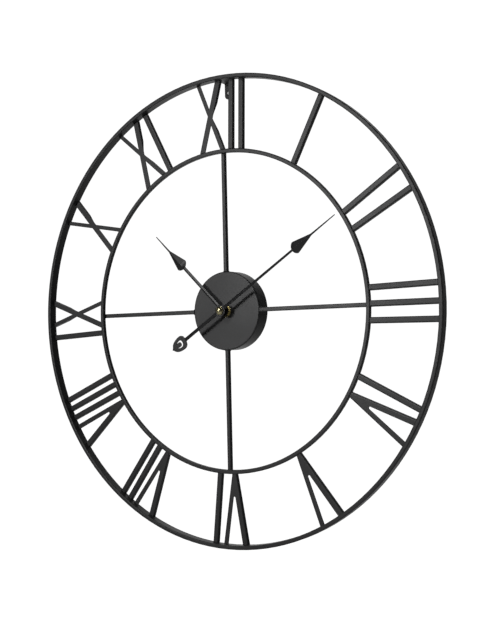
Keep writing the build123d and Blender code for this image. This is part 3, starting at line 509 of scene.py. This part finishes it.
def clock_frame(angle: float, height: float) -> Matrix:
    """Frame on the dial: x clockwise, y outwards at a clock angle, z to the front, origin on the hand axis.

    Args:
        angle: degrees clockwise from twelve.
        height: millimetres in front of the wall.

    Returns:
        The frame as a 4 x 4 matrix in metres.
    """
    turn = math.radians(angle)
    across = (math.cos(turn), math.sin(turn), 0.0)
    upwards = (-math.sin(turn), math.cos(turn), 0.0)
    matrix = Matrix((across, (0.0, 0.0, -1.0), upwards)).to_4x4()
    matrix.translation = Vector((0.0, -height * MM, HAND_AXIS_Z))
    return matrix


@contextmanager
def editing(piece: bpy.types.Object) -> Iterator[None]:
    """Edit a piece's mesh with nothing selected at first."""
    bpy.ops.object.select_all(action="DESELECT")
    piece.select_set(True)
    bpy.context.view_layer.objects.active = piece
    bpy.ops.object.mode_set(mode="EDIT")
    bpy.ops.mesh.select_all(action="DESELECT")
    yield
    bpy.ops.object.mode_set(mode="OBJECT")


def pick(piece: bpy.types.Object, test: Callable[[Vector], bool]) -> None:
    """Select exactly the vertices, and what lies between them, whose place passes a test.

    Args:
        piece: object in edit mode.
        test: takes a vertex's place and says whether it is selected.
    """
    bpy.ops.mesh.select_all(action="DESELECT")
    mesh = bmesh.from_edit_mesh(piece.data)
    for vertex in mesh.verts:
        vertex.select_set(test(vertex.co))
    mesh.select_mode = {"VERT"}
    mesh.select_flush_mode()
    bmesh.update_edit_mesh(piece.data)


def near(a: float, b: float) -> bool:
    """Say whether two lengths in metres are the same."""
    return abs(a - b) < 1e-6


def finish(piece: bpy.types.Object, name: str, slot: Slot, body: Body,
           smooth: float = 35.0) -> bpy.types.Object:
    """Apply a piece's transform, close up its normals, paint it and fasten it to its body.

    Args:
        piece: the new piece, in place.
        name: its name.
        slot: slot whose finish it takes.
        body: body it rides on.
        smooth: edges flatter than this angle are shaded smooth, in degrees.

    Returns:
        The same piece.
    """
    bpy.ops.object.select_all(action="DESELECT")
    piece.select_set(True)
    bpy.context.view_layer.objects.active = piece
    bpy.ops.object.transform_apply(location=True, rotation=True, scale=True)
    with editing(piece):
        bpy.ops.mesh.select_all(action="SELECT")
        bpy.ops.mesh.normals_make_consistent(inside=False)
    bpy.ops.object.shade_smooth_by_angle(angle=math.radians(smooth))
    piece.name = name
    piece.data.name = name
    piece.data.materials.clear()
    Paint.put(piece, slot)
    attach(piece, body.value)
    log.info("%s: %d faces on %s", name, len(piece.data.polygons), body.value)
    return piece


def joined(pieces: Sequence[bpy.types.Object]) -> bpy.types.Object:
    """Join pieces into one mesh object.

    Args:
        pieces: mesh objects.

    Returns:
        The first piece, which now holds them all.
    """
    bpy.ops.object.select_all(action="DESELECT")
    for piece in pieces:
        piece.select_set(True)
    bpy.context.view_layer.objects.active = pieces[0]
    bpy.ops.object.join()
    return pieces[0]


def bead(matrix: Matrix, centre: Point, size: Point) -> bpy.types.Object:
    """A rounded bead, such as a weld or a drop of solder.

    Args:
        matrix: frame it is placed in.
        centre: centre in that frame, millimetres.
        size: half sizes, millimetres.

    Returns:
        The new object.
    """
    bpy.ops.mesh.primitive_uv_sphere_add(segments=14, ring_count=8, radius=MM)
    piece = bpy.context.active_object
    piece.matrix_world = matrix @ Matrix.Translation(Vector(centre) * MM) @ Matrix.Diagonal((*size, 1.0))
    return piece


def block(matrix: Matrix, centre: Point, size: Point, edge: float) -> bpy.types.Object:
    """A block with bevelled edges.

    Args:
        matrix: frame it is placed in.
        centre: centre in that frame, millimetres.
        size: full sizes, millimetres.
        edge: width of the bevel, millimetres.

    Returns:
        The new object.
    """
    bpy.ops.mesh.primitive_cube_add(size=1.0)
    piece = bpy.context.active_object
    with editing(piece):
        bpy.ops.mesh.select_all(action="SELECT")
        bpy.ops.transform.resize(value=tuple(side * MM for side in size), center_override=(0.0, 0.0, 0.0))
        bpy.ops.mesh.bevel(offset=edge * MM, segments=2, affect="EDGES")
    piece.matrix_world = matrix @ Matrix.Translation(Vector(centre) * MM)
    return piece


def ring(matrix: Matrix, centre: Point, major: float, minor: float) -> bpy.types.Object:
    """A round ring whose axis is the frame's z.

    Args:
        matrix: frame it is placed in.
        centre: centre in that frame, millimetres.
        major: radius of the ring, millimetres.
        minor: radius of its section, millimetres.

    Returns:
        The new object.
    """
    sizes = {"major_radius": major * MM, "minor_radius": minor * MM}
    bpy.ops.mesh.primitive_torus_add(major_segments=48, minor_segments=8, **sizes)
    piece = bpy.context.active_object
    piece.matrix_world = matrix @ Matrix.Translation(Vector(centre) * MM)
    return piece


# --- hands ---------------------------------------------------------------------------------


@dataclass
class EmbossedHand:
    """The pressed relief on a hand's flat blank: a ridge along the blade and over the spade head.

    Attributes:
        name: name of the hand.
        angle: clockwise from twelve, degrees.
        front: height of the blank's front face, millimetres.
        body: body that the hand belongs to.
        stations: along the hand: distance, half width and ridge height, millimetres.
        sunk: how far the relief starts inside the blank, millimetres.
    """

    name: str
    angle: float
    front: float
    body: Body
    stations: tuple[Point, ...]
    sunk: float = 0.3

    def build(self) -> bpy.types.Object:
        """Draw the relief out station by station from one strip of two faces.

        Returns:
            The relief, sunk a little into the blank.
        """
        bpy.ops.mesh.primitive_grid_add(x_subdivisions=2, y_subdivisions=1, size=2.0)
        piece = bpy.context.active_object
        places = [(r * MM, half * MM, rise * MM) for r, half, rise in self.stations]
        with editing(piece):
            for sign, (r, half, _) in ((-1.0, places[0]), (1.0, places[1])):
                pick(piece, lambda co: near(co.y, sign))
                bpy.ops.transform.translate(value=(0.0, r - sign, 0.0))
                bpy.ops.transform.resize(value=(half, 1.0, 1.0), center_override=(0.0, r, 0.0))
            for (r, half, _), (last_r, last_half, _) in zip(places[2:], places[1:]):
                pick(piece, lambda co: near(co.y, last_r))
                step = {"value": (0.0, r - last_r, 0.0)}
                bpy.ops.mesh.extrude_region_move(TRANSFORM_OT_translate=step)
                bpy.ops.transform.resize(value=(half / last_half, 1.0, 1.0), center_override=(0.0, r, 0.0))
            for r, _, rise in places:
                pick(piece, lambda co: near(co.y, r) and abs(co.x) < 1e-7)
                bpy.ops.transform.translate(value=(0.0, 0.0, rise))
            bpy.ops.mesh.select_all(action="SELECT")
            bpy.ops.mesh.extrude_region_move(TRANSFORM_OT_translate={"value": (0.0, 0.0, -0.01)})
            bpy.ops.transform.resize(value=(1.0, 1.0, 0.0), center_override=(0.0, 0.0, -self.sunk * MM))
        piece.matrix_world = clock_frame(self.angle, self.front)
        return finish(piece, self.name, Slot.HAND, self.body, 6.0)


NEEDLE_HALF = 1.1            # half width where a head becomes a needle, millimetres
NEEDLE_TAPER = 0.65          # how much narrower the needle's point is
NEEDLE_RISE = 0.22           # ridge height along the needle
OUTLINE_INSET = 0.1          # the relief stays this far inside the blank's outline
HEEL = ((0.06, 0.22), (0.16, 0.48), (0.34, 0.66), (0.62, 0.84))     # share of its length, of its width
BLADE = (0.0, 0.25, 0.5, 0.75, 1.0)                                 # shares of the blade's length


def head_stations(base: float, widest: float, end: float, half: float, tip: float,
                  rise: float) -> tuple[Point, ...]:
    """Stations of a spade head with its needle, just inside the blank's outline.

    Args:
        base: where the head starts, millimetres.
        widest: where it is widest.
        end: where it becomes a needle.
        half: half its greatest width.
        tip: the needle's point.
        rise: ridge height where it is widest.

    Returns:
        Distance, half width and ridge height at each station.
    """
    heel = [(base + (widest - base) * t, half * width) for t, width in HEEL]
    blade = [(widest + (end - widest) * t, half + (NEEDLE_HALF - half) * t) for t in BLADE]
    needle = [(end + (tip - end) * t, NEEDLE_HALF - NEEDLE_TAPER * t) for t in (0.5, 0.98)]
    stations = []
    for distance, width in heel + blade + needle:
        ridge = rise * min(1.0, 0.12 + width / half) if width > 1.2 else NEEDLE_RISE
        stations.append((distance, width - OUTLINE_INSET, ridge))
    return tuple(stations)


@dataclass
class Hands:
    """Relief on both hands, and the rolled edge of the minute hand's disc.

    Attributes:
        minute_angle: the minute hand at rest, degrees clockwise from twelve.
        hour_angle: the hour hand at rest.
        minute_front: height of the minute hand's front in front of the wall, millimetres.
        hour_front: height of the hour hand's front.
        parts: the finished pieces.
    """

    minute_angle: float = 57.3
    hour_angle: float = -45.9
    minute_front: float = 33.2
    hour_front: float = 27.2
    parts: list[bpy.types.Object] = field(default_factory=list)

    def build(self) -> None:
        """Build both hands' relief and the rolled edge."""
        minute_head = head_stations(128.0, 134.5, 160.0, 8.0, 199.0, 2.2)
        hour_head = head_stations(83.0, 89.5, 116.0, 8.2, 146.0, 2.2)
        minute_blade = ((7.0, 1.85, 0.75), (60.0, 1.55, 0.65), (127.5, 1.2, 0.55))
        minute_tail = ((7.0, 1.85, 0.7), (40.0, 1.95, 0.7), (66.0, 2.1, 0.7))
        hour_blade = ((7.0, 2.1, 0.9), (45.0, 2.0, 0.85), (82.5, 1.95, 0.8))
        minute = (self.minute_angle, self.minute_front, Body.MINUTE)
        tail = (self.minute_angle + 180.0, self.minute_front, Body.MINUTE)
        hour = (self.hour_angle, self.hour_front, Body.HOUR)
        self.parts += [
            EmbossedHand("minute_hand_head_relief", *minute, minute_head).build(),
            EmbossedHand("minute_hand_blade_relief", *minute, minute_blade).build(),
            EmbossedHand("minute_hand_tail_relief", *tail, minute_tail).build(),
            EmbossedHand("hour_hand_head_relief", *hour, hour_head).build(),
            EmbossedHand("hour_hand_blade_relief", *hour, hour_blade).build(),
        ]
        collar = ring(clock_frame(0.0, self.minute_front), (0.0, 0.0, 0.0), 6.9, 0.35)
        self.parts.append(finish(collar, "minute_hand_rolled_edge", Slot.HAND, Body.MINUTE))


@dataclass
class CapNut:
    """The domed nut that holds the minute hand, in millimetres.

    Attributes:
        back: height of the nut's back in front of the wall.
        hex_thick: thickness of the hexagon.
        corner_radius: from the axis to a corner of the hexagon.
        dome: half width, half width and height of the dome.
        sunk: how far the dome starts inside the hexagon.
    """

    back: float = 33.2
    hex_thick: float = 1.6
    corner_radius: float = 5.77
    dome: Point = (4.8, 4.8, 3.5)
    sunk: float = 0.1

    def build(self) -> bpy.types.Object:
        """Chamfer the hexagon, turn the dome and its rim, and join them.

        Returns:
            The nut, which stands for the CAD one.
        """
        at = clock_frame(0.0, self.back)
        sizes = {"radius": self.corner_radius * MM, "depth": self.hex_thick * MM}
        bpy.ops.mesh.primitive_cylinder_add(vertices=6, **sizes)
        hexagon = bpy.context.active_object
        with editing(hexagon):
            bpy.ops.mesh.select_all(action="SELECT")
            bpy.ops.mesh.bevel(offset=0.3 * MM, segments=2, affect="EDGES")
        middle = Matrix.Translation((0.0, 0.0, self.hex_thick / 2 * MM))
        hexagon.matrix_world = at @ middle @ Matrix.Rotation(math.pi / 6, 4, "Z")
        bpy.ops.mesh.primitive_uv_sphere_add(segments=48, ring_count=24, radius=MM)
        dome = bpy.context.active_object
        with editing(dome):
            bpy.ops.mesh.select_all(action="SELECT")
            bpy.ops.mesh.bisect(plane_co=(0.0, 0.0, -0.02 * MM), plane_no=(0.0, 0.0, 1.0), use_fill=True,
                                clear_inner=True, threshold=1e-8)
        foot = Matrix.Translation((0.0, 0.0, (self.hex_thick - self.sunk) * MM))
        dome.matrix_world = at @ foot @ Matrix.Diagonal((*self.dome, 1.0))
        rim = ring(at, (0.0, 0.0, self.hex_thick), self.dome[0], 0.2)
        nut = finish(joined([hexagon, dome, rim]), "domed_cap_nut", Slot.BRASS, Body.MINUTE)
        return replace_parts(nut, "cap_nut")


# --- frame details -------------------------------------------------------------------------


@dataclass
class Welds:
    """Weld beads where spokes, numerals and the bracket meet the rings and the hub.

    Attributes:
        strokes: for each hour, offsets of every stroke end on the inner and the outer ring, millimetres.
    """

    strokes: dict[int, tuple[tuple[float, float], ...]]

    def build(self) -> None:
        """Build all the beads as three pieces."""
        spoke_beads = []
        for angle in (0.0, 90.0, 180.0, 270.0):
            at = clock_frame(angle, HUB_FACE)
            for side in (-1.0, 1.0):
                spoke_beads.append(bead(at, (2.9 * side, HUB_RADIUS + 0.3, -3.0), (0.9, 1.0, 2.6)))
                spoke_beads.append(bead(at, (2.9 * side, INNER_RADIUS - 2.6, -0.2), (0.9, 2.2, 0.7)))
            spoke_beads.append(bead(at, (0.0, HUB_RADIUS + 0.3, -5.7), (2.4, 1.0, 0.7)))
        finish(joined(spoke_beads), "spoke_welds", Slot.COAT, Body.FRAME, 60.0)
        numeral_beads = []
        for hour, ends in self.strokes.items():
            at = clock_frame(30.0 * hour, NUMERAL_BACK)
            for inner, outer in ends:
                numeral_beads.append(bead(at, (inner, INNER_RADIUS + 0.3, 1.4), (2.0, 0.9, 0.9)))
                numeral_beads.append(bead(at, (outer, BAND_OUT - 0.3, 1.4), (2.0, 0.9, 0.9)))
        finish(joined(numeral_beads), "numeral_welds", Slot.COAT, Body.FRAME, 60.0)
        at = clock_frame(0.0, HUB_FACE)
        places = [(side * 4.0, 297.8 + drop, -0.25) for side in (-1.0, 1.0) for drop in (-2.0, 0.3)]
        ends = [bead(at, place, (2.6, 0.8, 0.6)) for place in places]
        finish(joined(ends), "bracket_welds", Slot.COAT, Body.FRAME, 60.0)


STROKE_ENDS = {
    1: ((4.0, 0.5),),
    2: ((-9.0, -13.5), (15.0, 17.0)),
    3: ((-20.0, -22.0), (-1.0, -1.0), (18.5, 19.5)),
    4: ((-22.0, -28.0), (2.0, -12.0), (2.0, 17.0)),
    5: ((-2.0, -16.7), (-2.0, 13.0)),
    6: ((-10.5, -25.7), (-10.5, 4.0), (11.5, 20.5)),
    7: ((-9.0, -26.7), (-9.0, 3.0), (6.5, 16.0), (19.5, 30.0)),
    8: ((-16.0, -37.2), (-16.0, -7.5), (-2.5, 7.5), (11.0, 21.0), (24.5, 34.5)),
    9: ((-23.0, -28.0), (-11.8, 21.0), (17.8, -10.0)),
    10: ((-13.8, 15.0), (15.8, -16.0)),
    11: ((-17.8, 10.0), (11.8, -21.0), (23.5, 27.0)),
    12: ((-27.3, -2.5), (2.3, -33.5), (15.0, 17.5), (30.5, 33.0)),
}


# --- movement details ----------------------------------------------------------------------


@dataclass
class MovementDetails:
    """Mouldings on the movement's case, the cell's rings, the coil's leads and the board's solder.

    Attributes:
        back: frame on the wall plane, in which every place is given, millimetres.
        cell_height: the cell's axis in front of the wall.
        cell_drop: the cell's axis below the hand axis.
    """

    back: Matrix = field(default_factory=lambda: clock_frame(0.0, 0.0))
    cell_height: float = 9.1
    cell_drop: float = 18.75

    def build(self) -> None:
        """Build every detail."""
        self.case_mouldings()
        self.cell_rings()
        self.board_solder()
        self.bush_thread()

    def case_mouldings(self) -> None:
        """Snap clips on the case's sides, ribs on the cover, and the polarity marks."""
        sides = [(side * 27.9, z, 5.6) for side in (-1.0, 1.0) for z in (-2.0, 17.0)]
        clips = [block(self.back, place, (1.4, 7.0, 3.4), 0.25) for place in sides]
        clips += [block(self.back, (x, 27.9, 5.6), (7.0, 1.4, 3.4), 0.25) for x in (-15.0, 15.0)]
        finish(joined(clips), "case_snap_clips", Slot.CASE, Body.FRAME)
        ribs = []
        for step in range(4):
            ribs.append(block(self.back, (-23.5 + 3.0 * step, 6.0, 2.25), (1.1, 24.0, 0.5), 0.15))
        for step in range(4):
            ribs.append(block(self.back, (19.5, -4.5 + 2.4 * step, 2.25), (11.0, 0.9, 0.5), 0.15))
        finish(joined(ribs), "cover_ribs", Slot.CASE, Body.FRAME)
        around = ring(self.back, (5.94, 13.94, 2.2), 7.2, 0.35)
        finish(around, "setting_well_rim", Slot.CASE, Body.FRAME)
        marks = [block(self.back, (21.0, -8.0, 2.25), (3.2, 0.7, 0.5), 0.1),
                 block(self.back, (21.0, -8.0, 2.25), (0.7, 3.2, 0.5), 0.1),
                 block(self.back, (-18.0, -8.0, 2.25), (3.2, 0.7, 0.5), 0.1)]
        finish(joined(marks), "polarity_marks", Slot.CASE, Body.FRAME)

    def cell_rings(self) -> None:
        """The rolled bead at the cell's closed end and the washer round its nub."""
        middle = Matrix.Translation((0.0, -self.cell_height * MM, HAND_AXIS_Z - self.cell_drop * MM))
        along = middle @ Matrix.Rotation(math.pi / 2, 4, "Y")
        rings = [ring(along, (0.0, 0.0, 23.0), 7.15, 0.2), ring(along, (0.0, 0.0, -24.6), 7.15, 0.2)]
        finish(joined(rings), "cell_rolled_beads", Slot.STRIP, Body.BATTERY)
        washer = ring(along, (0.0, 0.0, 23.7), 4.3, 0.45)
        finish(washer, "cell_insulating_washer", Slot.WHITE, Body.BATTERY)

    def board_solder(self) -> None:
        """Solder joints on the board and the coil's two leads."""
        joints = [bead(self.back, (x, z, 6.1), (0.7, 0.7, 0.45)) for x, z in
                  ((10.6, 16.0), (10.6, 18.5), (18.2, 22.6), (18.2, 24.6), (23.5, 15.6), (21.0, 15.6))]
        finish(joined(joints), "board_solder_joints", Slot.STRIP, Body.FRAME, 60.0)
        leads = [block(self.back, (1.4, 16.0 + drop, 6.2), (18.0, 0.22, 0.22), 0.05) for drop in (0.0, 2.5)]
        finish(joined(leads), "coil_leads", Slot.COPPER, Body.FRAME)

    def bush_thread(self) -> None:
        """Crests of the bush's thread in front of and behind the nut."""
        crests = [ring(self.back, (0.0, 0.0, 22.85 + 0.28 * turn), 3.88, 0.09) for turn in range(3)]
        finish(joined(crests), "bush_thread_crests", Slot.BRASS, Body.FRAME)


# --- studio --------------------------------------------------------------------------------


@dataclass
class Studio:
    """Camera, pale floor and soft studio light.

    Attributes:
        eye: camera position, millimetres in the row frame.
        aim: point on the optical axis, millimetres.
        roll: turn about the optical axis, degrees.
        lens: focal length, millimetres on a 36 mm sensor.
        shift: lens shift.
        key: name, direction, distance, size and power of the key light, as area() takes them.
        softbox: the same of the softbox above it.
        ahead: the way the camera looks, which the lit backdrop stands behind.
        backdrop_edge: cosines off that way between which the backdrop fades in.
        backdrop_light: brightness of the backdrop in reflections.
        below_edge: how far down the light from below fades in.
        below_light: brightness of the light from below.
        room_light: brightness of the rest of the room.
        floor_drop: height of the floor, metres.
    """

    eye: Point = (722.9, -1066.5, -326.15)
    aim: Point = (77.78, -32.0, -288.39)
    roll: float = -1.298
    lens: float = 57.415
    shift: tuple[float, float] = (-0.03627, -0.0008)
    key: LightSetting = ("key_light", (-23.8, 7.4), 2.4, 0.36, 13.0)
    softbox: LightSetting = ("front_softbox", (-3.0, 31.0), 2.2, 0.5, 14.0)
    ahead: Point = (-0.529, 0.848, 0.031)
    backdrop_edge: tuple[float, float] = (0.60, 0.90)
    backdrop_light: float = 0.95
    below_edge: tuple[float, float] = (-0.15, -0.75)
    below_light: float = 0.30
    room_light: float = 0.035
    floor_drop: float = -1.6

    def build(self) -> None:
        """Build the whole studio."""
        self.camera()
        self.floor()
        self.world()
        self.area(*self.key)
        self.area(*self.softbox)

    def camera(self) -> None:
        """Place the camera by its eye, its aim and its roll."""
        data = bpy.data.cameras.new("camera")
        data.lens = self.lens
        data.sensor_width = 36.0
        data.shift_x, data.shift_y = self.shift
        camera = bpy.data.objects.new("camera", data)
        bpy.context.scene.collection.objects.link(camera)
        eye, aim = Vector(self.eye) * MM, Vector(self.aim) * MM
        ahead = (aim - eye).normalized()
        level = ahead.cross(Vector((0.0, 0.0, 1.0))).normalized()
        upright = level.cross(ahead)
        turn = math.radians(self.roll)
        right = level * math.cos(turn) + upright * math.sin(turn)
        up = right.cross(ahead)
        matrix = Matrix((right, up, -ahead)).transposed().to_4x4()
        matrix.translation = eye
        camera.matrix_world = matrix
        bpy.context.scene.camera = camera

    def area(self, name: str, direction: tuple[float, float], distance: float, size: float,
             power: float) -> None:
        """Add a square area light aimed at the dial's centre.

        Args:
            name: name of the light.
            direction: degrees towards +X from the dial's axis, and degrees up.
            distance: metres.
            size: side in metres.
            power: watts.
        """
        data = bpy.data.lights.new(name, "AREA")
        data.size = size
        data.energy = power
        light = bpy.data.objects.new(name, data)
        bpy.context.scene.collection.objects.link(light)
        across, rise = (math.radians(value) for value in direction)
        level = math.cos(rise)
        away = Vector((math.sin(across) * level, -math.cos(across) * level, math.sin(rise)))
        light.location = Vector((0.0, -RIM_HEIGHT * MM, HAND_AXIS_Z)) + away * distance
        light.rotation_euler = away.to_track_quat("Z", "Y").to_euler()

    def floor(self) -> None:
        """Lay a pale matt floor well below the clock."""
        bpy.ops.mesh.primitive_plane_add(size=60.0, location=(0.0, 0.0, self.floor_drop))
        plane = bpy.context.active_object
        plane.name = "floor"
        material = bpy.data.materials.new("pale_floor")
        material.use_nodes = True
        shader = material.node_tree.nodes["Principled BSDF"]
        shader.inputs["Base Color"].default_value = (0.9, 0.9, 0.9, 1.0)
        shader.inputs["Roughness"].default_value = 0.9
        shader.inputs["Emission Color"].default_value = (1.0, 1.0, 1.0, 1.0)
        shader.inputs["Emission Strength"].default_value = 0.95
        plane.data.materials.append(material)
        plane.visible_glossy = False
        plane.visible_diffuse = False

    def world(self) -> None:
        """White surroundings to look at, and a softer, uneven sky that lights the clock."""
        world = bpy.data.worlds.new("studio")
        world.use_nodes = True
        tree = world.node_tree
        tree.nodes.clear()
        output = tree.nodes.new("ShaderNodeOutputWorld")
        seen = tree.nodes.new("ShaderNodeBackground")
        seen.inputs["Color"].default_value = (1.0, 1.0, 1.0, 1.0)
        seen.inputs["Strength"].default_value = 1.05
        lit = tree.nodes.new("ShaderNodeBackground")
        lit.inputs["Strength"].default_value = 1.0
        direction = tree.nodes.new("ShaderNodeTexCoord")
        parts = tree.nodes.new("ShaderNodeSeparateXYZ")
        tree.links.new(direction.outputs["Generated"], parts.inputs[0])
        facing = tree.nodes.new("ShaderNodeVectorMath")
        facing.operation = "DOT_PRODUCT"
        facing.inputs[1].default_value = self.ahead
        tree.links.new(direction.outputs["Generated"], facing.inputs[0])
        backdrop = ramp_node(tree, facing.outputs["Value"], *self.backdrop_edge, 0.0, self.backdrop_light)
        below = ramp_node(tree, parts.outputs["Z"], *self.below_edge, 0.0, self.below_light)
        room = math_node(tree, "ADD", math_node(tree, "MAXIMUM", backdrop, below), self.room_light)
        mix = tree.nodes.new("ShaderNodeMixShader")
        camera = tree.nodes.new("ShaderNodeLightPath")
        tree.links.new(camera.outputs["Is Camera Ray"], mix.inputs[0])
        tree.links.new(room, lit.inputs["Color"])
        tree.links.new(lit.outputs[0], mix.inputs[1])
        tree.links.new(seen.outputs[0], mix.inputs[2])
        tree.links.new(mix.outputs[0], output.inputs[0])
        bpy.context.scene.world = world
        bpy.context.scene.view_settings.view_transform = "Standard"


# --- whole clock ---------------------------------------------------------------------------


def paint_cad_nodes() -> None:
    """Give every CAD node the finish of its slot in the record."""
    slots = {part["node"]: part.get("material_slot", part["node"]) for part in frame["record"]["subparts"]}
    for name, node in frame["nodes"].items():
        Paint.put(node, Slot(slots[name]))
        log.info("%s painted as %s", name, slots[name])


def main() -> None:
    """Build the scene."""
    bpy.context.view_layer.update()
    paint_cad_nodes()
    Hands().build()
    CapNut().build()
    Welds(STROKE_ENDS).build()
    MovementDetails().build()
    Studio().build()


if __name__ == "__main__":
    main()
